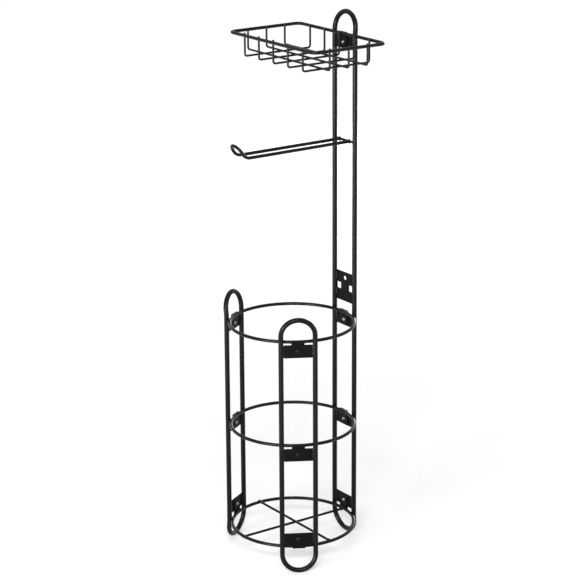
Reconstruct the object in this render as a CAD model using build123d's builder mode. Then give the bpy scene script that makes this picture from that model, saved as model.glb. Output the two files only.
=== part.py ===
from build123d import *

import os
from math import cos, radians, sin, sqrt

# Freestanding toilet paper holder, bent from round steel wire and screwed together with flat plates.
# Millimetres and degrees. +Z is up, the origin is on the rings' axis at floor level, and +Y points
# at the tall pole.

# Wires, by diameter
loop_wire = 6.0
ring_wire = 4.0
rod_wire = 3.0
arm_wire = 4.0
crossbar_wire = 3.2
rim_wire = 4.0
basket_wire = 2.5
weld_seam = 0.05  # left between two wires, or a wire and a plate, that are welded together

# Upright loops: a tall pole and two short ones, all standing on the floor
pole_height = 660.0
short_loop_rise = 31.3  # of the short loops' tops above the top ring's centre line
loop_spread = 40.2  # between the centre lines of a loop's two sides
end_lean = 7.5  # outward, of the round end at the top and foot of each loop
end_bend = 40.0  # radius that each side bends to where its end starts to lean
pole_angle = 90.0
right_loop_angle = -30.0
left_loop_angle = -150.0

# Rings that hold the spare rolls, measured on the wire's centre line
ring_diameter = 150.0
base_ring_height = 31.7
ring_spacing = 129.2

# Screwed joints: a tab on the ring, a cross plate between the loop's sides, and a screw
sheet = 1.2
joint_corner = 0.9
tab_width = 15.6
tab_reach = 1.8  # past the centre line of the ring that the tab is welded to
tab_shortfall = 0.55  # of the tab's other end before the plate's far edge
plate_height = 15.9
plate_gap = 2.6  # from the ring's centre line to the near edge of the plate
plate_setback = 0.3  # from the loop's centre plane out to the plate's inner face

# Screws
screw_diameter = 4.0
screw_length = 4.0
head_diameter = 7.8
head_height = 2.4
head_rim = 0.5  # straight side of the head below its dome
thread_clearance = 0.05
shank_clearance = 0.25

# Spare fixing plate on the pole, above the top ring
fixing_plate_height = 36.7
fixing_plate_rise = 12.2  # of its lower edge above the top ring's centre line
fixing_hole_diameter = 5.5
fixing_hole_drop = 7.3
square_hole = 8.0
square_hole_pitch = 23.4
square_hole_drop = 18.6
square_hole_corner = 0.6

# Roll arm: a hairpin that lies flat and turns up at its tip
arm_drop = 156.6  # from the top of the pole down to the level legs' centre lines
arm_spread = 19.1
arm_reach = 64.2  # from the rings' axis forward to the start of the upturn
upturn_radius = 11.6
upturn_angle = 56.0
upturn_straight = 1.8

# Magazine basket
rim_drop = 27.7  # from the top of the pole down to the rim's centre line
rim_length = 171.0
rim_width = 100.4
rim_corner = 7.5
basket_depth = 22.7  # from the rim's centre line down to that of the long wires
basket_bend = 3.0
leg_stand_up = 0.2  # of the wires' ends above the top of the rim
cross_wire_count = 5
cross_wire_margin = 26.9  # from the rim's ends to the outermost cross wires
long_wire_count = 3
long_wire_margin = 23.7  # from the rim's sides to the outermost long wires

# Where the pieces of a ring joint lie, from the rings' axis outwards
ring_radius = ring_diameter / 2
tab_face = ring_radius + ring_wire / 2 + weld_seam
plate_face = tab_face + sheet
head_face = plate_face + sheet
loop_radius = plate_face - plate_setback

ring_heights = {
    "base": base_ring_height,
    "middle": base_ring_height + ring_spacing,
    "top": base_ring_height + 2 * ring_spacing,
}
short_loop_height = ring_heights["top"] + short_loop_rise
fixing_plate_top = ring_heights["top"] + fixing_plate_rise + fixing_plate_height
loop_angles = {"pole": pole_angle, "right": right_loop_angle, "left": left_loop_angle}

# The arm and the basket hang on the upper part of the pole, the basket with a joint like the rings'
arm_height = pole_height - arm_drop
rim_height = pole_height - rim_drop
rim_back = loop_radius - loop_wire / 2 - weld_seam - rim_wire / 2
rim_centre = rim_back - rim_width / 2
basket_tab_face = rim_back + rim_wire / 2 + weld_seam
basket_plate_face = basket_tab_face + sheet
basket_head_face = basket_plate_face + sheet


def upright(angle, radius, height=0.0):
    """Vertical plane that faces outward: its x runs round the rings and its y runs up."""
    outward = Vector(1, 0, 0).rotate(Axis.Z, angle)
    along = Vector(0, 1, 0).rotate(Axis.Z, angle)
    return Plane(origin=outward * radius + Vector(0, 0, height), x_dir=along, z_dir=outward)


def spread(count, length, margin):
    """Evenly spaced places, centred on zero, with the outermost a margin inside a length."""
    reach = length / 2 - margin
    return [reach * (2 * index / (count - 1) - 1) for index in range(count)]


def save(builder, name):
    """Labels a finished piece and writes its file."""
    builder.part.label = name
    export_step(builder.part, f"parts/{name}.step")


def bend_wire(path, diameter):
    """Sweeps a round wire along a centre line, in the part that is being built."""
    with BuildSketch(path.line ^ 0) as section:
        Circle(diameter / 2)
    sweep(sections=section.sketch, path=path.wire())


def lean(turn, run=0.0):
    """Rise and outward step of a wire that has leaned by a turn and then runs on straight."""
    rise = end_bend * sin(radians(turn)) + run * cos(radians(turn))
    step = end_bend * (1 - cos(radians(turn))) + run * sin(radians(turn))
    return rise, step


def loop_end(side, level, way):
    """Round end of a loop that leans outward from a level. The way is 1 at its top, -1 at its foot."""
    half_rise, half_step = lean(end_lean / 2)
    rise, step = lean(end_lean)
    tip_rise, tip_step = lean(end_lean, side)
    for flank in (side, -side):
        middle = (flank, level + way * half_rise, half_step)
        ThreePointArc((flank, level), middle, (flank, level + way * rise, step))
    tip = (0, level + way * tip_rise, tip_step)
    ThreePointArc((side, level + way * rise, step), tip, (-side, level + way * rise, step))


def make_loop(angle, height):
    """Closed oval of wire that stands on the floor, across the rings' radius."""
    side = loop_spread / 2
    end_height = loop_wire / 2 + lean(end_lean, side)[0]
    with BuildPart() as loop:
        with BuildLine(upright(angle, loop_radius)) as path:
            for flank in (side, -side):
                Line((flank, end_height), (flank, height - end_height))
            loop_end(side, height - end_height, 1)
            loop_end(side, end_height, -1)
        bend_wire(path, loop_wire)
    return loop


def make_ring(height):
    """Ring of wire round the spare rolls."""
    with BuildPart() as ring:
        with BuildSketch(Plane.XZ):
            with Locations((ring_radius, height)):
                Circle(ring_wire / 2)
        revolve(axis=Axis.Z)
    return ring


def make_base_rod(direction, height):
    """Straight rod across the inside of the base ring."""
    half_length = ring_radius - ring_wire / 2 - weld_seam
    with BuildPart() as rod:
        with BuildSketch(Plane(origin=(0, 0, height), z_dir=direction)):
            Circle(rod_wire / 2)
        extrude(amount=half_length, both=True)
    return rod


def plate_width(inner_face):
    """Width that fits between a loop's sides for a plate whose inner face is at this radius."""
    off_centre = max(inner_face - loop_radius, loop_radius - inner_face - sheet, 0)
    return loop_spread - 2 * (sqrt((loop_wire / 2) ** 2 - off_centre**2) + weld_seam)


def plate_bottom(rail_height, hangs):
    """Lower edge of a joint's cross plate, below or above the wire that the joint holds."""
    if hangs:
        return rail_height - plate_gap - plate_height
    return rail_height + plate_gap


def screw_height(rail_height, hangs):
    """Height of a joint's screw, at mid height of its cross plate."""
    return plate_bottom(rail_height, hangs) + plate_height / 2


def make_tab(angle, face, rail_height, hangs):
    """Flat tab on the outside of a ring or rim, with a tapped hole."""
    bottom = plate_bottom(rail_height, hangs)
    low = bottom + tab_shortfall if hangs else rail_height - tab_reach
    high = rail_height + tab_reach if hangs else bottom + plate_height - tab_shortfall
    with BuildPart() as tab:
        with BuildSketch(upright(angle, face)):
            with Locations((0, (low + high) / 2)):
                RectangleRounded(tab_width, high - low, joint_corner)
            with Locations((0, screw_height(rail_height, hangs))):
                Circle(screw_diameter / 2 + thread_clearance, mode=Mode.SUBTRACT)
        extrude(amount=sheet)
    return tab


def make_cross_plate(angle, face, rail_height, hangs):
    """Flat plate between the two sides of a loop, with a clearance hole for the screw."""
    with BuildPart() as plate:
        with BuildSketch(upright(angle, face, screw_height(rail_height, hangs))):
            RectangleRounded(plate_width(face), plate_height, joint_corner)
            Circle(screw_diameter / 2 + shank_clearance, mode=Mode.SUBTRACT)
        extrude(amount=sheet)
    return plate


def make_screw():
    """Domed screw along Z, with the underside of its head at the origin."""
    head_radius = head_diameter / 2
    shank_radius = screw_diameter / 2
    dome = head_height - head_rim
    dome_radius = (head_radius**2 + dome**2) / (2 * dome)
    with BuildPart() as screw:
        with BuildSketch(Plane.XZ):
            with BuildLine():
                Polyline(
                    (0, head_height),
                    (0, -screw_length),
                    (shank_radius, -screw_length),
                    (shank_radius, 0),
                    (head_radius, 0),
                    (head_radius, head_rim),
                )
                RadiusArc((head_radius, head_rim), (0, head_height), -dome_radius)
            make_face()
        revolve(axis=Axis.Z)
    return screw


def make_fixing_plate():
    """Drilled plate between the sides of the pole."""
    with BuildPart() as plate:
        with BuildSketch(upright(pole_angle, plate_face, fixing_plate_top)):
            with Locations((0, -fixing_plate_height / 2)):
                RectangleRounded(plate_width(plate_face), fixing_plate_height, joint_corner)
            with Locations((0, -fixing_hole_drop)):
                Circle(fixing_hole_diameter / 2, mode=Mode.SUBTRACT)
            with Locations((0, -square_hole_drop)):
                with GridLocations(square_hole_pitch, 0, 2, 1):
                    RectangleRounded(square_hole, square_hole, square_hole_corner, mode=Mode.SUBTRACT)
        extrude(amount=sheet)
    return plate


def make_arm():
    """Hairpin that carries the roll in use: two level legs, an upturn and a round tip."""
    root = loop_radius - crossbar_wire / 2 - weld_seam
    side = arm_spread / 2
    upturn = Vector(0, -1, 0).rotate(Axis.X, -upturn_angle)
    with BuildPart() as arm:
        with BuildLine() as path:
            leg = Line((side, root, arm_height), (side, -arm_reach, arm_height))
            with BuildLine(Plane.YZ.offset(side)):
                curve = JernArc((-arm_reach, arm_height), (-1, 0), upturn_radius, -upturn_angle)
            neck = Line(curve @ 1, curve @ 1 + upturn * upturn_straight)
            across = Vector(-arm_spread, 0, 0)
            TangentArc(neck @ 1, neck @ 1 + across, tangent=upturn)
            mirror(about=Plane.YZ)
        bend_wire(path, arm_wire)
    return arm


def make_arm_crossbar():
    """Short bar between the sides of the pole, which the arm's legs are welded to."""
    half_length = (loop_spread - loop_wire) / 2 - weld_seam
    with BuildPart() as crossbar:
        with BuildSketch(Plane.YZ):
            with Locations((loop_radius, arm_height)):
                Circle(crossbar_wire / 2)
        extrude(amount=half_length, both=True)
    return crossbar


def make_rim():
    """Rounded rectangle of wire round the top of the basket."""
    with BuildPart() as rim:
        with BuildLine(Plane.XY.offset(rim_height)) as path:
            FilletPolyline(
                (rim_length / 2, rim_back),
                (-rim_length / 2, rim_back),
                (-rim_length / 2, rim_back - rim_width),
                (rim_length / 2, rim_back - rim_width),
                radius=rim_corner,
                close=True,
            )
        bend_wire(path, rim_wire)
    return rim


def make_cradle_wire(plane, span, bottom):
    """Wire bent to a wide U, hung inside the rim: its ends stand a little above the rim."""
    side = span / 2 - (rim_wire + basket_wire) / 2 - weld_seam
    top = rim_height + rim_wire / 2 + leg_stand_up
    with BuildPart() as cradle_wire:
        with BuildLine(plane) as path:
            FilletPolyline(
                (-side, top), (-side, bottom), (side, bottom), (side, top), radius=basket_bend
            )
        bend_wire(path, basket_wire)
    return cradle_wire


os.makedirs("parts", exist_ok=True)

save(make_loop(pole_angle, pole_height), "pole")
save(make_loop(right_loop_angle, short_loop_height), "right_loop")
save(make_loop(left_loop_angle, short_loop_height), "left_loop")

# Rings, each joined to all three loops
screws = []
for level, height in ring_heights.items():
    save(make_ring(height), f"{level}_ring")
    hangs = level != "base"
    for side_name, angle in loop_angles.items():
        joint = f"{level}_{side_name}"
        save(make_tab(angle, tab_face, height, hangs), f"{joint}_tab")
        save(make_cross_plate(angle, plate_face, height, hangs), f"{joint}_plate")
        screws.append(upright(angle, head_face, screw_height(height, hangs)))

# Base rods, one resting on the other at the middle
rod_step = (rod_wire + weld_seam) / 2
save(make_base_rod((0, 1, 0), base_ring_height - rod_step), "base_rod_front_to_back")
save(make_base_rod((1, 0, 0), base_ring_height + rod_step), "base_rod_side_to_side")

save(make_fixing_plate(), "pole_fixing_plate")
save(make_arm(), "roll_arm")
save(make_arm_crossbar(), "arm_crossbar")

# Basket: rim, long wires, and cross wires that pass under the long ones
save(make_rim(), "basket_rim")
long_bottom = rim_height - basket_depth
cross_bottom = long_bottom - basket_wire - weld_seam
for number, place in enumerate(spread(long_wire_count, rim_width, long_wire_margin), start=1):
    plane = Plane(origin=(0, rim_centre + place, 0), x_dir=(1, 0, 0), z_dir=(0, -1, 0))
    save(make_cradle_wire(plane, rim_length, long_bottom), f"basket_long_wire_{number}")
for number, place in enumerate(spread(cross_wire_count, rim_length, cross_wire_margin), start=1):
    plane = Plane(origin=(place, rim_centre, 0), x_dir=(0, 1, 0), z_dir=(1, 0, 0))
    save(make_cradle_wire(plane, rim_width, cross_bottom), f"basket_cross_wire_{number}")

save(make_tab(pole_angle, basket_tab_face, rim_height, True), "basket_tab")
save(make_cross_plate(pole_angle, basket_plate_face, rim_height, True), "basket_plate")
screws.append(upright(pole_angle, basket_head_face, screw_height(rim_height, True)))

# The joints' screws are alike and share one node
screw = make_screw()
with BuildPart() as joint_screws:
    with Locations(*screws):
        add(screw.part)
save(joint_screws, "joint_screws")
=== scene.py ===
from math import cos, exp, pi, radians, sin, sqrt, tau

import bmesh
import bpy
from mathutils import Matrix, Vector
from mathutils.noise import noise

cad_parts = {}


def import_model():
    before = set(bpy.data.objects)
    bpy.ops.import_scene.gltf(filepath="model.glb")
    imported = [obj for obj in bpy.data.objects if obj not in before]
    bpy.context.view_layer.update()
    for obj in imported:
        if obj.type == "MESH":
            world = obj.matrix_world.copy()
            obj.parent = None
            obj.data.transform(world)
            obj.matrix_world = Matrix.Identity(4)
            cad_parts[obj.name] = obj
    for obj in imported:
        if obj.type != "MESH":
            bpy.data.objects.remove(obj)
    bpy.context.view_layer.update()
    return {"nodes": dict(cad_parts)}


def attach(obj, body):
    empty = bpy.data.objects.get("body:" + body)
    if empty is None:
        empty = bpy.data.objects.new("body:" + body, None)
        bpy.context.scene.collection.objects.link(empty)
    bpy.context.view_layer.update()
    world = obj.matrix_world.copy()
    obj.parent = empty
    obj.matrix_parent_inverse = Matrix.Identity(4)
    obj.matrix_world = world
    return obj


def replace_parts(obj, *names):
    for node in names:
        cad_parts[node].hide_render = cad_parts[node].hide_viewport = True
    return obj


# Looks of a freestanding toilet paper holder: satin black powder coat on bent wire and punched plates.
# Sizes are in millimetres and degrees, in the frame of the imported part, and MM turns them to metres.
MM = 0.001

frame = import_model()
nodes = frame["nodes"]

# The camera, solved on the photograph: its place from the rings' axis in metres, and its turns
CAMERA_AZIMUTH = 55.07
CAMERA_DISTANCE = 2.42278
CAMERA_HEIGHT = 1.07425
CAMERA_YAW = -0.111
CAMERA_PITCH = 17.010
CAMERA_ROLL = -0.37
PHOTO_SIDE = 576
FOCAL_PIXELS = 2122.56
SENSOR = 36.0

# Levels of light. The floor glows more where the lamps don't reach it, so that it looks white all over:
# its glow rises between GLOW_START and GLOW_END, in metres from the rings' axis. The floor reaches out
# FLOOR_HALF metres each way, and the lamps look at a point LAMP_AIM metres above its middle.
WORLD_LIGHT = 0.4
NEAR_GLOW = 0.24
FAR_GLOW = 0.68
GLOW_START = 0.3
GLOW_END = 2.4
FLOOR_HALF = 30
LAMP_AIM = 0.33

# Base colours, linear
COAT_BLACK = (0.0026, 0.0026, 0.0027)
PLATE_BLACK = (0.0034, 0.0034, 0.0035)
SCREW_BLACK = (0.0040, 0.0040, 0.0041)
BARE_STEEL = (0.36, 0.355, 0.34)
FLOOR_WHITES = ((0.78, 0.78, 0.78), (0.8, 0.8, 0.8))

# Sockets of a colour mix node, which has others for numbers and vectors
MIX_LOW = 6
MIX_HIGH = 7
MIX_RESULT = 2

# Wires, by radius
LOOP_WIRE = 3.0
RING_WIRE = 2.0
ROD_WIRE = 1.5
ARM_WIRE = 2.0
CROSSBAR_WIRE = 1.6
RIM_WIRE = 2.0
BASKET_WIRE = 1.25
SEAM = 0.05

# Loops, rings and joints. Faces and LOOP_RADIUS are distances from the rings' axis, LOOP_SIDE is half a
# loop's width on its centre line, and the gaps and reaches of the sheets are measured from a ring's height.
LOOP_SIDE = 20.1
RING_RADIUS = 75.0
RING_HEIGHTS = {"base": 31.7, "middle": 160.9, "top": 290.1}
LOOP_ANGLES = {"pole": 90, "right": -30, "left": -150}
SHEET = 1.2
CORNER = 0.9
TAB_FACE = 77.05
PLATE_FACE = 78.25
HEAD_FACE = 79.45
LOOP_RADIUS = 77.95
TAB_WIDTH = 15.6
TAB_REACH = 1.8
TAB_SHORTFALL = 0.55
PLATE_HEIGHT = 15.9
PLATE_GAP = 2.6

# Screws and their holes. HEAD, SHANK, TAPPED and DRILLED are radii. POINT is the length that tapers at a
# screw's end, by POINT_TAPER. Each screw is turned NEXT_TURN degrees further than the one before.
HEAD = 3.9
HEAD_HEIGHT = 2.4
HEAD_RIM = 0.5
SHANK = 2.0
SCREW_LENGTH = 4.0
THREAD_PITCH = 0.7
THREAD_DEPTH = 0.36
POINT = 0.5
POINT_TAPER = 0.45
TAPPED = 2.05
DRILLED = 2.25
RECESS_DEPTH = 1.5
HEAD_SIDES = 56
DOME_STEPS = 12
THREAD_SIDES = 40
THREAD_STEPS = 6
FIRST_TURN = 23
NEXT_TURN = 47

# Fixing plate
FIXING_TOP = 339.0
FIXING_HEIGHT = 36.7
FIXING_HOLE = 2.75
FIXING_HOLE_DROP = 7.3
SQUARE = 8.0
SQUARE_PITCH = 23.4
SQUARE_DROP = 18.6
SQUARE_CORNER = 0.6

# Arm and basket
ARM_HEIGHT = 503.4
ARM_SIDE = 9.55
RIM_HEIGHT = 632.3
RIM_BACK = 72.9
RIM_CENTRE = 22.7
LONG_BOTTOM = 609.6
CROSS_PLACES = (-58.6, -29.3, 0.0, 29.3, 58.6)
LONG_PLACES = (-26.5, 0.0, 26.5)
CROSS_LEG = 46.9
LONG_LEG = 82.2
LEG_TOP = 634.5
BASKET_TAB_FACE = 74.95
BASKET_PLATE_FACE = 76.15

# Edges that punching and coating leave round: softer on the side that the punch comes from
EDGE_STEPS = 4
EDGE = 0.28
BACK_EDGE = EDGE * 0.45
LEAST_CORNER = 0.05
HOLE_SIDES = 32

# Fillets are tables of how far back from the contact a row lies, and how far out it swells. Their feet
# follow the other wire's side as far as the wraps, which are shares of its radius.
ROD_FILLET = ((2.6, -0.04), (1.9, 0.05), (1.2, 0.16), (0.6, 0.34), (0.1, 0.56), (-0.35, 0.7))
COLLAR_FILLET = ((2.0, -0.03), (1.4, 0.08), (0.8, 0.26), (0.35, 0.55), (0.0, 0.95), (-0.3, 1.1))
COLLAR_FLARE = 0.9
FILLET_SIDES = 30
FILLET_UNEVENNESS = 0.25
ROD_WRAP = 0.92
COLLAR_WRAP = 0.96

# Necks of fused metal between crossed wires reach out to a share of the thinner one's radius
NECK_REACH = 1.1875
NECK_SIDES = 28
NECK_ROWS = 7

# Beads. Toes are where they end on a sheet, from the side of the wire or from its middle. Grips are how
# far they climb round the wire: a share of its radius at the plates, and degrees at the tabs, where the
# beads on the plate's side are wide and the others slim.
BEAD_FULLNESS = 0.45
BEAD_RIPPLE = 0.07
BEAD_UNEVENNESS = 0.22
BEAD_POINTS = 8
BEAD_END = 1.2
PLATE_TOE = 1.25
PLATE_GRIP = 0.36
PLATE_SECTIONS = 30
WIDE_TOE = 2.6
WIDE_GRIP = 52
SLIM_TOE = TAB_REACH - 0.15
SLIM_GRIP = 40
TAB_BEAD = 11.2
TAB_SECTIONS = 26
FIXING_BEAD = 11
FIXING_BEAD_HEIGHT = 10.5
WELD_SHARP = 60
END_STEPS = 6

# Butt welds: a loop's angle, its side and the height, a ring's angle, and the rim's place along X
LOOP_CLOSINGS = ((90, -1, 224), (-30, 1, 232), (-150, -1, 232))
RING_CLOSINGS = ((142, "base"), (38, "middle"), (142, "top"))
RIM_CLOSING = -44

UP = Vector((0, 0, 1))


def camera():
    """The photograph's camera."""
    data = bpy.data.cameras.new("camera")
    data.sensor_width = SENSOR
    data.lens = FOCAL_PIXELS * SENSOR / PHOTO_SIDE
    data.clip_start = 0.1
    data.clip_end = 60
    eye = bpy.data.objects.new("camera", data)
    bpy.context.scene.collection.objects.link(eye)
    turn = Matrix.Rotation(radians(CAMERA_AZIMUTH), 3, "Z")
    yaw, pitch, roll = radians(CAMERA_YAW), radians(CAMERA_PITCH), radians(CAMERA_ROLL)
    forward = turn @ Vector((sin(yaw) * cos(pitch), cos(yaw) * cos(pitch), -sin(pitch)))
    level = forward.cross(UP).normalized()
    right = level * cos(roll) + level.cross(forward) * sin(roll)
    top = right.cross(forward)
    place = turn @ Vector((0, -CAMERA_DISTANCE, CAMERA_HEIGHT))
    axes = Matrix((right, top, -forward)).transposed().to_4x4()
    eye.matrix_world = Matrix.Translation(place) @ axes
    bpy.context.scene.camera = eye


class Tree:
    """A node tree, with short calls to add and join its nodes."""

    def __init__(self, owner):
        owner.use_nodes = True
        self.tree = owner.node_tree
        self.tree.nodes.clear()

    def add(self, kind, **settings):
        node = self.tree.nodes.new(kind)
        for name, value in settings.items():
            setattr(node, name, value)
        return node

    def join(self, source, target, entry, socket=0):
        self.tree.links.new(source.outputs[socket], target.inputs[entry])

    def noise(self, scale, detail):
        """Noise fixed to the object, whose scale is in grains per metre."""
        place = self.add("ShaderNodeTexCoord")
        texture = self.add("ShaderNodeTexNoise")
        texture.inputs["Scale"].default_value = scale
        texture.inputs["Detail"].default_value = detail
        self.join(place, texture, "Vector", "Object")
        return texture

    def span(self, source, low, high, start=0.3, end=0.7, socket=0):
        """Maps a noise's middle values, or others from start to end, to the span from low to high."""
        span = self.add("ShaderNodeMapRange")
        span.inputs["From Min"].default_value = start
        span.inputs["From Max"].default_value = end
        span.inputs["To Min"].default_value = low
        span.inputs["To Max"].default_value = high
        self.join(source, span, "Value", socket)
        return span

    def blend(self, factor, low, high):
        """Mixes two colours, or a node's colour and another, by a factor."""
        mix = self.add("ShaderNodeMix", data_type="RGBA")
        for entry, colour in ((MIX_LOW, low), (MIX_HIGH, high)):
            if isinstance(colour, tuple):
                mix.inputs[entry].default_value = (*colour, 1)
            else:
                self.join(colour, mix, entry, MIX_RESULT)
        self.join(factor, mix, 0)
        return mix

    def seen(self):
        """1 for a ray that sees the background: straight, in a mirror or through glass."""
        path = self.add("ShaderNodeLightPath")
        straight = self.add("ShaderNodeMath", operation="MAXIMUM")
        self.join(path, straight, 0, "Is Camera Ray")
        self.join(path, straight, 1, "Is Glossy Ray")
        either = self.add("ShaderNodeMath", operation="MAXIMUM")
        self.join(straight, either, 0)
        self.join(path, either, 1, "Is Transmission Ray")
        return either


def shade(colour, share):
    """A colour made darker or lighter."""
    return tuple(level * share for level in colour)


def coat(name, colour, gloss, specular, grain, height):
    """Satin powder coat: a faint orange peel, clouds of colour and gloss, and fine specks of dust."""
    material = bpy.data.materials.new(name)
    tree = Tree(material)
    surface = tree.add("ShaderNodeBsdfPrincipled")
    surface.inputs["Metallic"].default_value = 0.0
    surface.inputs["IOR"].default_value = 1.45
    surface.inputs["Specular IOR Level"].default_value = specular
    clouds = tree.span(tree.noise(scale=45, detail=3), 0, 1)
    body = tree.blend(clouds, shade(colour, 0.85), shade(colour, 1.2))
    specks = tree.span(tree.noise(scale=2600, detail=1), 0, 0.3, start=0.70, end=0.78)
    dusty = tree.blend(specks, body, shade(colour, 4))
    tree.join(dusty, surface, "Base Color", MIX_RESULT)
    tree.join(tree.span(tree.noise(scale=260, detail=1), *gloss), surface, "Roughness")
    bump = tree.add("ShaderNodeBump")
    bump.inputs["Strength"].default_value = 0.5
    bump.inputs["Distance"].default_value = height
    tree.join(tree.noise(scale=grain, detail=2), bump, "Height")
    tree.join(bump, surface, "Normal")
    output = tree.add("ShaderNodeOutputMaterial")
    tree.join(surface, output, "Surface")
    return material


def bare_thread(name):
    """Steel whose black finish the tapped holes have scraped off, dull with oil in its hollows."""
    material = bpy.data.materials.new(name)
    tree = Tree(material)
    surface = tree.add("ShaderNodeBsdfPrincipled")
    surface.inputs["Metallic"].default_value = 1.0
    smears = tree.span(tree.noise(scale=900, detail=3), 0, 1, start=0.38, end=0.62)
    steel = tree.blend(smears, shade(BARE_STEEL, 0.35), BARE_STEEL)
    tree.join(steel, surface, "Base Color", MIX_RESULT)
    tree.join(tree.span(tree.noise(scale=1700, detail=2), 0.28, 0.5), surface, "Roughness")
    output = tree.add("ShaderNodeOutputMaterial")
    tree.join(surface, output, "Surface")
    return material


def floor():
    """Pale floor that looks white and keeps the holder's soft shadow."""
    mesh = bpy.data.meshes.new("floor")
    corners = [(x * FLOOR_HALF, y * FLOOR_HALF, 0) for x, y in ((-1, -1), (1, -1), (1, 1), (-1, 1))]
    mesh.from_pydata(corners, [], [(0, 1, 2, 3)])
    plane = bpy.data.objects.new("floor", mesh)
    bpy.context.scene.collection.objects.link(plane)
    material = bpy.data.materials.new("floor_white")
    tree = Tree(material)
    lit = tree.add("ShaderNodeBsdfDiffuse")
    clouds = tree.span(tree.noise(scale=3, detail=2), 0, 1)
    tree.join(tree.blend(clouds, *FLOOR_WHITES), lit, "Color", MIX_RESULT)
    glow = tree.add("ShaderNodeEmission")
    apart = tree.add("ShaderNodeVectorMath", operation="LENGTH")
    tree.join(tree.add("ShaderNodeTexCoord"), apart, 0, "Object")
    rise = tree.span(apart, NEAR_GLOW, FAR_GLOW, GLOW_START, GLOW_END, "Value")
    tree.join(rise, glow, "Strength")
    both = tree.add("ShaderNodeAddShader")
    tree.join(lit, both, 0)
    tree.join(glow, both, 1)
    pick = tree.add("ShaderNodeMixShader")
    tree.join(tree.seen(), pick, 0)
    tree.join(lit, pick, 1)
    tree.join(both, pick, 2)
    output = tree.add("ShaderNodeOutputMaterial")
    tree.join(pick, output, "Surface")
    mesh.materials.append(material)


def world():
    """Even studio light, and white wherever the background is seen."""
    studio = bpy.data.worlds.new("studio")
    bpy.context.scene.world = studio
    tree = Tree(studio)
    pick = tree.add("ShaderNodeMixShader")
    tree.join(tree.seen(), pick, 0)
    for entry, strength in ((1, WORLD_LIGHT), (2, 1.0)):
        light = tree.add("ShaderNodeBackground")
        light.inputs["Color"].default_value = (1, 1, 1, 1)
        light.inputs["Strength"].default_value = strength
        tree.join(light, pick, entry)
    output = tree.add("ShaderNodeOutputWorld")
    tree.join(pick, output, "Surface")


def lamp(name, turn, height, distance, size, power):
    """Soft box that looks at the middle of the holder, turned from the camera, in metres and watts."""
    data = bpy.data.lights.new(name, "AREA")
    data.shape = "RECTANGLE"
    data.size, data.size_y = size
    data.energy = power
    box = bpy.data.objects.new(name, data)
    bpy.context.scene.collection.objects.link(box)
    azimuth = radians(CAMERA_AZIMUTH + turn)
    box.location = (sin(azimuth) * distance, -cos(azimuth) * distance, height)
    box.rotation_euler = (Vector((0, 0, LAMP_AIM)) - box.location).to_track_quat("-Z", "Y").to_euler()


def upright(angle, radius, height):
    """Vertical plane that faces outward: its x runs round the rings, its y up and its z outward."""
    turn = radians(angle)
    outward = Vector((cos(turn), sin(turn), 0))
    axes = Matrix((Vector((-sin(turn), cos(turn), 0)), UP, outward)).transposed().to_4x4()
    return Matrix.Translation(outward * radius + UP * height) @ axes


def piece(name, form, material, sharp=40):
    """Turns a finished form in millimetres into a smooth-shaded piece of the holder."""
    bmesh.ops.recalc_face_normals(form, faces=form.faces)
    for face in form.faces:
        face.smooth = True
    bmesh.ops.scale(form, vec=(MM, MM, MM), verts=form.verts)
    mesh = bpy.data.meshes.new(name)
    form.to_mesh(mesh)
    form.free()
    mesh.set_sharp_from_angle(angle=radians(sharp))
    mesh.materials.append(material)
    thing = bpy.data.objects.new(name, mesh)
    bpy.context.scene.collection.objects.link(thing)
    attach(thing, "root")
    return thing


def skin(form, rows, caps=False):
    """Quads between rows of points, each a closed ring. Caps fill the two ends."""
    grid = [[form.verts.new(point) for point in row] for row in rows]
    count = len(grid[0])
    for low, high in zip(grid, grid[1:]):
        for index in range(count):
            after = (index + 1) % count
            form.faces.new((low[index], low[after], high[after], high[index]))
    if caps:
        form.faces.new(grid[0])
        form.faces.new(grid[-1])
    return grid


def oblong(width, height, corner, centre=(0, 0)):
    """Outline with rounded corners, as a function of how far it is drawn in."""

    def points(inset):
        radius = max(corner - inset, LEAST_CORNER)
        across, up = width / 2 - inset - radius, height / 2 - inset - radius
        outline = []
        for quarter, (sx, sy) in enumerate(((1, 1), (-1, 1), (-1, -1), (1, -1))):
            for step in range(EDGE_STEPS + 1):
                turn = (quarter + step / EDGE_STEPS) * pi / 2
                outline.append((centre[0] + sx * across + radius * cos(turn),
                                centre[1] + sy * up + radius * sin(turn)))
        return outline

    return points


def hole(radius, centre=(0, 0)):
    """Round hole, as a function of how far the sheet's edge is drawn back from it."""

    def points(inset):
        turns = [tau * index / HOLE_SIDES for index in range(HOLE_SIDES)]
        return [(centre[0] + (radius + inset) * cos(turn), centre[1] + (radius + inset) * sin(turn))
                for turn in turns]

    return points


def square_hole(side, corner, centre):
    """Square hole with slightly round corners, as a function of how far its edge is drawn back."""
    return lambda inset: oblong(side + 2 * inset, side + 2 * inset, corner + inset, centre)(0)


def punched(node, plane, outlines):
    """Sheet part in place of its CAD node: rounded along its front edges, crisper along its back ones."""
    form = bmesh.new()
    caps = {1: [], -1: []}
    for outline in outlines:
        rows = []
        for side, edge in ((-1, BACK_EDGE), (1, EDGE)):
            turns = [pi / 2 * step / EDGE_STEPS for step in range(EDGE_STEPS + 1)]
            for turn in (turns if side == 1 else reversed(turns)):
                level = side * (SHEET / 2 - edge + edge * sin(turn)) + SHEET / 2
                rows.append([(x, y, level) for x, y in outline(edge * (1 - cos(turn)))])
        grid = skin(form, rows)
        caps[-1].append(grid[0])
        caps[1].append(grid[-1])
    for rims in caps.values():
        edges = [form.edges.get((rim[index - 1], rim[index]))
                 for rim in rims for index in range(len(rim))]
        bmesh.ops.triangle_fill(form, use_beauty=True, edges=edges)
    bmesh.ops.transform(form, matrix=plane, verts=form.verts)
    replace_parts(piece(f"{node}_punched", form, plate_coat), node)


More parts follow.
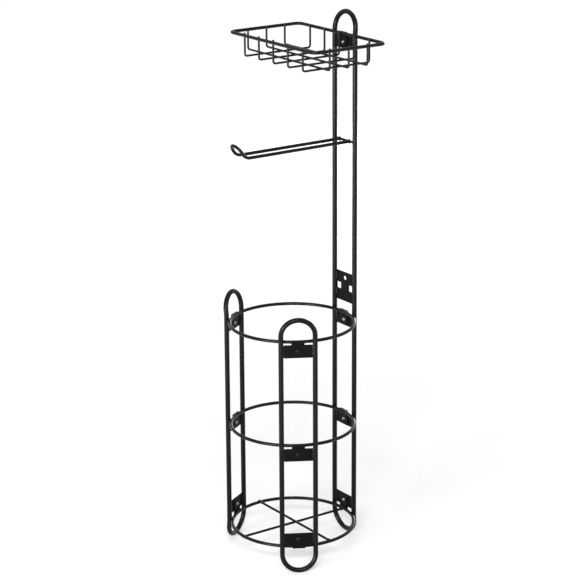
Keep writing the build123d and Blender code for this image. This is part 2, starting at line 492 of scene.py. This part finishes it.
def joint_plates(joint, angle, rail, hangs, tab_face, plate_face):
    """Tab and cross plate of one joint. Gives the height of its screw."""
    bottom = rail - PLATE_GAP - PLATE_HEIGHT if hangs else rail + PLATE_GAP
    middle = bottom + PLATE_HEIGHT / 2
    low = bottom + TAB_SHORTFALL if hangs else rail - TAB_REACH
    high = rail + TAB_REACH if hangs else bottom + PLATE_HEIGHT - TAB_SHORTFALL
    off_centre = max(plate_face - LOOP_RADIUS, LOOP_RADIUS - plate_face - SHEET, 0)
    width = 2 * (LOOP_SIDE - sqrt(LOOP_WIRE**2 - off_centre**2) - SEAM)
    centre = (0, (low + high) / 2 - middle)
    punched(f"{joint}_tab", upright(angle, tab_face, middle),
            [oblong(TAB_WIDTH, high - low, CORNER, centre), hole(TAPPED)])
    punched(f"{joint}_plate", upright(angle, plate_face, middle),
            [oblong(width, PLATE_HEIGHT, CORNER), hole(DRILLED)])
    return middle


def fixing_plate():
    """Drilled plate between the sides of the pole."""
    width = 2 * (LOOP_SIDE - sqrt(LOOP_WIRE**2 - (PLATE_FACE - LOOP_RADIUS) ** 2) - SEAM)
    middle = FIXING_TOP - FIXING_HEIGHT / 2
    row = FIXING_HEIGHT / 2 - SQUARE_DROP
    punched("pole_fixing_plate", upright(90, PLATE_FACE, middle), [
        oblong(width, FIXING_HEIGHT, CORNER),
        hole(FIXING_HOLE, (0, FIXING_HEIGHT / 2 - FIXING_HOLE_DROP)),
        square_hole(SQUARE, SQUARE_CORNER, (-SQUARE_PITCH / 2, row)),
        square_hole(SQUARE, SQUARE_CORNER, (SQUARE_PITCH / 2, row)),
    ])


def cross_cutter():
    """Tapered cross that cuts the driver's recess in a screw head."""
    form = bmesh.new()
    # Half the length and half the width of its arms, and the height, at its foot and above the head
    foot = (0.85, 0.36, HEAD_HEIGHT - RECESS_DEPTH)
    mouth = (2.05, 0.46, HEAD_HEIGHT + 0.3)
    for turn in (0, pi / 2):
        rows = []
        for reach, half, level in (foot, mouth):
            ring = [(-reach, -half), (reach, -half), (reach, half), (-reach, half)]
            rows.append([Vector((x * cos(turn) - y * sin(turn), x * sin(turn) + y * cos(turn), level))
                         for x, y in ring])
        skin(form, rows, caps=True)
    bmesh.ops.recalc_face_normals(form, faces=form.faces)
    mesh = bpy.data.meshes.new("cross_cutter")
    form.to_mesh(mesh)
    form.free()
    return bpy.data.objects.new("cross_cutter", mesh)


def screw_head():
    """Domed head with a cross recess, whose underside is at the origin."""
    dome = HEAD_HEIGHT - HEAD_RIM
    ball = (HEAD**2 + dome**2) / (2 * dome)
    dome_radius = HEAD - 0.06
    profile = [(SHANK - 0.25, -0.2), (SHANK + 0.1, 0), (HEAD - 0.12, 0), (HEAD - 0.03, 0.04), (HEAD, 0.14),
               (HEAD, HEAD_RIM - 0.1), (dome_radius, HEAD_RIM + 0.04)]
    for step in range(1, DOME_STEPS):
        radius = dome_radius * (1 - step / DOME_STEPS)
        profile.append((radius, HEAD_HEIGHT - ball + sqrt(ball**2 - radius**2)))
    form = bmesh.new()
    turns = [tau * index / HEAD_SIDES for index in range(HEAD_SIDES)]
    rows = [[(radius * cos(turn), radius * sin(turn), level) for turn in turns]
            for radius, level in profile]
    skin(form, rows, caps=True)
    bmesh.ops.recalc_face_normals(form, faces=form.faces)
    mesh = bpy.data.meshes.new("head")
    form.to_mesh(mesh)
    form.free()
    head = bpy.data.objects.new("head", mesh)
    cutter = cross_cutter()
    for thing in (head, cutter):
        bpy.context.scene.collection.objects.link(thing)
    cut = head.modifiers.new("recess", "BOOLEAN")
    cut.object = cutter
    cut.operation = "DIFFERENCE"
    cut.solver = "EXACT"
    cut.use_self = True
    soften = head.modifiers.new("soften", "BEVEL")
    soften.width = 0.07
    soften.segments = 2
    soften.limit_method = "ANGLE"
    soften.angle_limit = radians(35)
    finished = head.evaluated_get(bpy.context.evaluated_depsgraph_get())
    cut_mesh = bpy.data.meshes.new_from_object(finished)
    for thing in (head, cutter):
        bpy.data.objects.remove(thing)
    return cut_mesh


def screw_form():
    """One screw along Z: its head, and a cut thread, which is a grid whose radius follows the helix."""
    form = bmesh.new()
    form.from_mesh(screw_head())
    head_faces = set(form.faces)
    count = int(SCREW_LENGTH / THREAD_PITCH * THREAD_STEPS)
    rows = []
    for row in range(count + 1):
        level = -SCREW_LENGTH * row / count
        taper = POINT_TAPER * max(0, 1 - (SCREW_LENGTH + level) / POINT)
        ring = []
        for index in range(THREAD_SIDES):
            phase = (level / THREAD_PITCH + index / THREAD_SIDES) % 1
            radius = SHANK - THREAD_DEPTH * abs(2 * phase - 1) - taper
            turn = tau * index / THREAD_SIDES
            ring.append((radius * cos(turn), radius * sin(turn), level))
        rows.append(ring)
    skin(form, rows, caps=True)
    for face in form.faces:
        face.material_index = 0 if face in head_faces else 1
    return form


def joint_screws(places):
    """All the joints' screws, each turned differently, in place of their CAD node."""
    source = bpy.data.meshes.new("screw")
    one = screw_form()
    one.to_mesh(source)
    one.free()
    form = bmesh.new()
    for number, place in enumerate(places):
        start = len(form.verts)
        form.from_mesh(source)
        form.verts.ensure_lookup_table()
        turned = place @ Matrix.Rotation(radians(FIRST_TURN + NEXT_TURN * number), 4, "Z")
        bmesh.ops.transform(form, matrix=turned, verts=form.verts[start:])
    screws = piece("joint_screws_cut", form, screw_coat, sharp=34)
    screws.data.materials.append(thread_steel)
    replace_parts(screws, "joint_screws")


def rough(point, scale=1.3):
    """Unevenness of a weld at a point, from -1 to 1."""
    return noise(Vector(point) * scale)


def spun(form, place, profile, count, unevenness=0.0):
    """Solid of revolution round the Z axis of a place, with an uneven skin if asked for."""
    rows = []
    for radius, level in profile:
        row = []
        for index in range(count):
            way = Vector((cos(tau * index / count), sin(tau * index / count), 0))
            point = place @ (way * radius + Vector((0, 0, level)))
            swell = 1 + unevenness * rough(point)
            row.append(place @ (way * radius * swell + Vector((0, 0, level))))
        rows.append(row)
    skin(form, rows, caps=True)


def facing(point, way):
    """Place whose Z axis points a way."""
    return Matrix.Translation(Vector(point)) @ Vector(way).to_track_quat("Z", "Y").to_matrix().to_4x4()


def neck(form, point, way, axis_a, radius_a, axis_b, radius_b, gap):
    """Fused metal where two wires cross: it reaches from their contact to where they stand a gap apart,
    with a waist halfway, and its ends are sunk in the wires."""
    way, axis_a, axis_b = Vector(way).normalized(), Vector(axis_a).normalized(), Vector(axis_b).normalized()
    level = way.orthogonal().normalized()
    aside = way.cross(level)
    waist, past, sunk = 0.30, 0.06, 0.16
    start, stride = 0.2, 0.02
    widest = NECK_REACH * min(radius_a, radius_b)

    def depth(direction, reach, axis, radius):
        off = reach * (direction - axis * direction.dot(axis)).length
        return SEAM / 2 + radius - sqrt(max(radius**2 - off**2, 0.01))

    rows = [[] for _ in range(NECK_ROWS)]
    for index in range(NECK_SIDES):
        turn = tau * index / NECK_SIDES
        direction = level * cos(turn) + aside * sin(turn)
        wanted = gap * (1 + 0.25 * rough(Vector(point) + direction * 2, 0.7))
        reach = start
        while reach < widest:
            below = depth(direction, reach, axis_a, radius_a)
            above = depth(direction, reach, axis_b, radius_b)
            if below + above > wanted:
                break
            reach += stride
        low = -depth(direction, reach, axis_a, radius_a)
        high = depth(direction, reach, axis_b, radius_b)
        for number, row in enumerate(rows):
            share = number / (NECK_ROWS - 1)
            pinch = waist * (high - low) * sin(pi * share)
            out = reach + past - pinch
            rise = low + (high - low) * share + (share - 0.5) * sunk
            row.append(Vector(point) + direction * out + way * rise)
    skin(form, rows, caps=True)


def bead(form, sections):
    """Weld bead along a corner. Each section has a toe, the corner and the other toe, within a few
    hundredths of the metal's skin. The bead ripples, and tapers over its first and last fifths."""
    count = len(sections)
    rows = []
    for index, (toe, corner, other) in enumerate(sections):
        place = index / (count - 1)
        taper = min(1, 5 * place, 5 * (1 - place)) ** 0.5
        ripple = BEAD_RIPPLE * sin(index * 1.45) + BEAD_UNEVENNESS * rough(corner, 0.9)
        swell = max(0.05, taper * (1 + ripple))
        first, last = corner + (toe - corner) * swell, corner + (other - corner) * swell
        hollow = (first + last) / 2 * BEAD_FULLNESS + corner * (1 - BEAD_FULLNESS)
        row = []
        for step in range(BEAD_POINTS):
            share = step / (BEAD_POINTS - 1)
            row.append(first * (1 - share) ** 2 + hollow * 2 * share * (1 - share) + last * share**2)
        row.append(corner - (hollow - corner) * 0.2)
        rows.append(row)
    skin(form, rows, caps=True)


def local(plane, across, up, out):
    """Point of an upright plane, from its middle."""
    return plane @ Vector((across, up, out))


def plate_beads(form, angle, middle, plate_face, height, run):
    """Beads that hold a plate's two ends to the sides of its loop, front and back. They run round a
    height above the plate's middle."""
    plane = upright(angle, 0, middle)
    for side in (-1, 1):
        for face, sense in ((plate_face + SHEET, 1), (plate_face, -1)):
            off = face - LOOP_RADIUS
            flank = LOOP_SIDE - sqrt(LOOP_WIRE**2 - off**2)
            grip = off / LOOP_WIRE + sense * PLATE_GRIP
            grip_across = LOOP_SIDE - LOOP_WIRE * sqrt(1 - grip**2)
            sections = []
            for step in range(PLATE_SECTIONS):
                up = -run / 2 + run * step / (PLATE_SECTIONS - 1) + height
                sections.append((
                    local(plane, side * (flank - PLATE_TOE), up, face + sense * 0.01),
                    local(plane, side * (flank - 0.03), up, face - sense * 0.05),
                    local(plane, side * (grip_across + 0.04), up, LOOP_RADIUS + LOOP_WIRE * grip),
                ))
            bead(form, sections)


def tab_beads(form, plane, hangs, tab_face, corner, on_wire):
    """Beads above and below a wire where it meets the back of its tab. on_wire gives their toes on the
    wire, by the place across the tab and by how far they climb round the wire."""
    for sense in (-1, 1):
        on_plate_side = (sense < 0) == hangs
        toe = WIDE_TOE if on_plate_side else SLIM_TOE
        grip = radians(WIDE_GRIP if on_plate_side else SLIM_GRIP)
        sections = []
        for step in range(TAB_SECTIONS):
            across = -TAB_BEAD / 2 + TAB_BEAD * step / (TAB_SECTIONS - 1)
            up, out = on_wire(across, grip)
            sections.append((
                local(plane, across, sense * toe, tab_face + 0.02),
                local(plane, across, sense * corner, tab_face + 0.02),
                local(plane, across, sense * up, out),
            ))
        bead(form, sections)


def ring_beads(form, angle, rail, hangs):
    """Beads that hold a ring to one of its tabs."""

    def on_ring(across, grip):
        centre = sqrt(RING_RADIUS**2 - across**2)
        return RING_WIRE * sin(grip) + 0.03, centre + RING_WIRE * cos(grip) - 0.03

    tab_beads(form, upright(angle, 0, rail), hangs, TAB_FACE, corner=0.55, on_wire=on_ring)


def rim_beads(form):
    """Beads that hold the basket's rim to its tab."""

    def on_rim(_, grip):
        return RIM_WIRE * sin(grip), RIM_BACK + RIM_WIRE * cos(grip) - 0.02

    tab_beads(form, upright(90, 0, RIM_HEIGHT), True, BASKET_TAB_FACE, corner=0.5, on_wire=on_rim)


def rod_ends(form):
    """Fillets where the crossed rods end on the inside of the base ring."""
    rail = RING_HEIGHTS["base"]
    step = ROD_WIRE + SEAM / 2
    for angle, height in ((90, rail - step), (-90, rail - step), (0, rail + step), (180, rail + step)):
        plane = upright(angle, 0, height)
        rows = []
        for back, swell in ROD_FILLET:
            row = []
            for index in range(FILLET_SIDES):
                turn = tau * index / FILLET_SIDES
                uneven = FILLET_UNEVENNESS * rough(plane @ Vector((cos(turn), sin(turn), back)) * 3)
                radius = ROD_WIRE + swell * (1 + uneven)
                across, up = radius * cos(turn), radius * sin(turn)
                off = min(abs(up + height - rail), RING_WIRE * ROD_WRAP)
                ring = sqrt(RING_RADIUS**2 - across**2) - sqrt(RING_WIRE**2 - off**2)
                row.append(local(plane, across, up, ring - back))
            rows.append(row)
        skin(form, rows, caps=True)


def swelling(form, point, way, radius):
    """Slight swelling where a wire's two ends were butt welded and dressed."""
    foot, rise, spread = radius - 0.015, 0.16, 1.15
    levels = [step * 0.36 for step in range(-8, 9)]
    profile = [(foot + rise * exp(-((level / spread) ** 2)), level) for level in levels]
    spun(form, facing(point, way), profile, count=32, unevenness=0.012)


def wire_end(form, point, way, radius):
    """Rounded coat over a cut wire's end."""
    outer, shoulder = radius + 0.02, -0.1
    profile = [(outer, -0.8), (outer, shoulder)]
    for step in range(1, END_STEPS):
        turn = pi / 2 * step / END_STEPS
        profile.append((outer - 0.55 * (1 - cos(turn)), shoulder + 0.3 * sin(turn)))
    profile.append((0.3, 0.22))
    spun(form, facing(point, way), profile, count=24)


def frame_welds():
    """Welds of the loops, the rings and the base rods."""
    form = bmesh.new()
    for level, rail in RING_HEIGHTS.items():
        hangs = level != "base"
        middle = rail - PLATE_GAP - PLATE_HEIGHT / 2 if hangs else rail + PLATE_GAP + PLATE_HEIGHT / 2
        for angle in LOOP_ANGLES.values():
            plate_beads(form, angle, middle, PLATE_FACE, 0, PLATE_HEIGHT - 2 * BEAD_END)
            ring_beads(form, angle, rail, hangs)
    middle = FIXING_TOP - FIXING_HEIGHT / 2
    for height in (-FIXING_BEAD_HEIGHT, FIXING_BEAD_HEIGHT):
        plate_beads(form, 90, middle, PLATE_FACE, height, FIXING_BEAD)
    middle = RIM_HEIGHT - PLATE_GAP - PLATE_HEIGHT / 2
    plate_beads(form, 90, middle, BASKET_PLATE_FACE, 0, PLATE_HEIGHT - 2 * BEAD_END)
    rod_ends(form)
    neck(form, (0, 0, RING_HEIGHTS["base"]), UP, (0, 1, 0), ROD_WIRE, (1, 0, 0), ROD_WIRE, gap=0.85)
    piece("frame_welds", form, wire_coat, WELD_SHARP)


def closing_welds():
    """Dressed butt welds that close the loops, the rings and the basket's rim."""
    form = bmesh.new()
    for angle, side, height in LOOP_CLOSINGS:
        plane = upright(angle, LOOP_RADIUS, height)
        swelling(form, local(plane, side * LOOP_SIDE, 0, 0), UP, LOOP_WIRE)
    for angle, rail in RING_CLOSINGS:
        turn = radians(angle)
        centre = Vector((cos(turn) * RING_RADIUS, sin(turn) * RING_RADIUS, RING_HEIGHTS[rail]))
        swelling(form, centre, (-sin(turn), cos(turn), 0), RING_WIRE)
    swelling(form, (RIM_CLOSING, RIM_BACK, RIM_HEIGHT), (1, 0, 0), RIM_WIRE)
    piece("closing_welds", form, wire_coat, WELD_SHARP)


def basket_welds():
    """Welds of the basket's wires to each other and to the rim, and the wires' coated ends."""
    form = bmesh.new()
    crossing = LONG_BOTTOM - BASKET_WIRE - SEAM / 2
    for x in CROSS_PLACES:
        for y in LONG_PLACES:
            contact = (x, RIM_CENTRE + y, crossing)
            neck(form, contact, UP, (0, 1, 0), BASKET_WIRE, (1, 0, 0), BASKET_WIRE, gap=0.6)
    for x in CROSS_PLACES:
        for side in (-1, 1):
            contact = (x, RIM_CENTRE + side * (CROSS_LEG + BASKET_WIRE + SEAM / 2), RIM_HEIGHT)
            neck(form, contact, (0, side, 0), UP, BASKET_WIRE, (1, 0, 0), RIM_WIRE, gap=0.7)
            wire_end(form, (x, RIM_CENTRE + side * CROSS_LEG, LEG_TOP), UP, BASKET_WIRE)
    for y in LONG_PLACES:
        for side in (-1, 1):
            contact = (side * (LONG_LEG + BASKET_WIRE + SEAM / 2), RIM_CENTRE + y, RIM_HEIGHT)
            neck(form, contact, (side, 0, 0), UP, BASKET_WIRE, (0, 1, 0), RIM_WIRE, gap=0.7)
            wire_end(form, (side * LONG_LEG, RIM_CENTRE + y, LEG_TOP), UP, BASKET_WIRE)
    rim_beads(form)
    piece("basket_welds", form, wire_coat, WELD_SHARP)


def collar(form, point, way, radius, target_axis, target_radius):
    """Fillet round a wire that ends on the side of another, which its foot wraps."""
    way, target_axis = Vector(way).normalized(), Vector(target_axis).normalized()
    aside = way.cross(target_axis)
    rows = []
    for back, swell in COLLAR_FILLET:
        row = []
        for index in range(FILLET_SIDES):
            turn = tau * index / FILLET_SIDES
            direction = target_axis * cos(turn) + aside * sin(turn)
            uneven = FILLET_UNEVENNESS * rough(Vector(point) + direction * 3)
            reach = radius + COLLAR_FLARE * swell * (1 + uneven)
            off = min(abs(reach * sin(turn)), target_radius * COLLAR_WRAP)
            wrap = target_radius - sqrt(target_radius**2 - off**2)
            row.append(Vector(point) + direction * reach + way * (wrap - back))
        rows.append(row)
    skin(form, rows, caps=True)


def arm_welds():
    """Fillets of the arm's legs on its crossbar, and of the crossbar between the sides of the pole."""
    form = bmesh.new()
    for side in (-1, 1):
        root = LOOP_RADIUS - CROSSBAR_WIRE
        collar(form, (side * ARM_SIDE, root, ARM_HEIGHT), (0, 1, 0), ARM_WIRE, (1, 0, 0), CROSSBAR_WIRE)
        end = side * (LOOP_SIDE - LOOP_WIRE)
        collar(form, (end, LOOP_RADIUS, ARM_HEIGHT), (side, 0, 0), CROSSBAR_WIRE, UP, LOOP_WIRE)
    piece("arm_welds", form, wire_coat, WELD_SHARP)


bpy.context.scene.view_settings.view_transform = "Standard"
camera()
world()
floor()
# Low lamps light the upright wires, which mirror what stands near the floor, and "front" the arches
lamp("key", turn=-38, height=0.3, distance=2.0, size=(0.9, 0.6), power=55)
lamp("front", turn=-2, height=1.45, distance=2.0, size=(1.0, 0.3), power=38)
lamp("fill", turn=78, height=0.45, distance=2.4, size=(0.4, 0.8), power=7)
lamp("back", turn=165, height=0.5, distance=2.4, size=(0.5, 1.0), power=12)
lamp("top", turn=180, height=2.2, distance=0.6, size=(1.4, 1.4), power=6)

wire_coat = coat("wire_coat", COAT_BLACK, gloss=(0.24, 0.32), specular=0.15, grain=1500, height=0.00001)
plate_coat = coat("plate_coat", PLATE_BLACK, gloss=(0.3, 0.4), specular=0.05, grain=1300, height=0.00001)
screw_coat = coat("screw_coat", SCREW_BLACK, gloss=(0.3, 0.4), specular=0.1, grain=2200, height=0.000005)
thread_steel = bare_thread("thread_steel")
for node in nodes.values():
    node.data.materials.clear()
    node.data.materials.append(wire_coat)

screw_places = []
for level_name, rail_height in RING_HEIGHTS.items():
    for side_name, loop_angle in LOOP_ANGLES.items():
        joint_name = f"{level_name}_{side_name}"
        hangs_down = level_name != "base"
        screw_height = joint_plates(joint_name, loop_angle, rail_height, hangs_down, TAB_FACE, PLATE_FACE)
        screw_places.append(upright(loop_angle, HEAD_FACE, screw_height))
screw_height = joint_plates("basket", 90, RIM_HEIGHT, True, BASKET_TAB_FACE, BASKET_PLATE_FACE)
screw_places.append(upright(90, BASKET_PLATE_FACE + SHEET, screw_height))
fixing_plate()
joint_screws(screw_places)
frame_welds()
closing_welds()
arm_welds()
basket_welds()
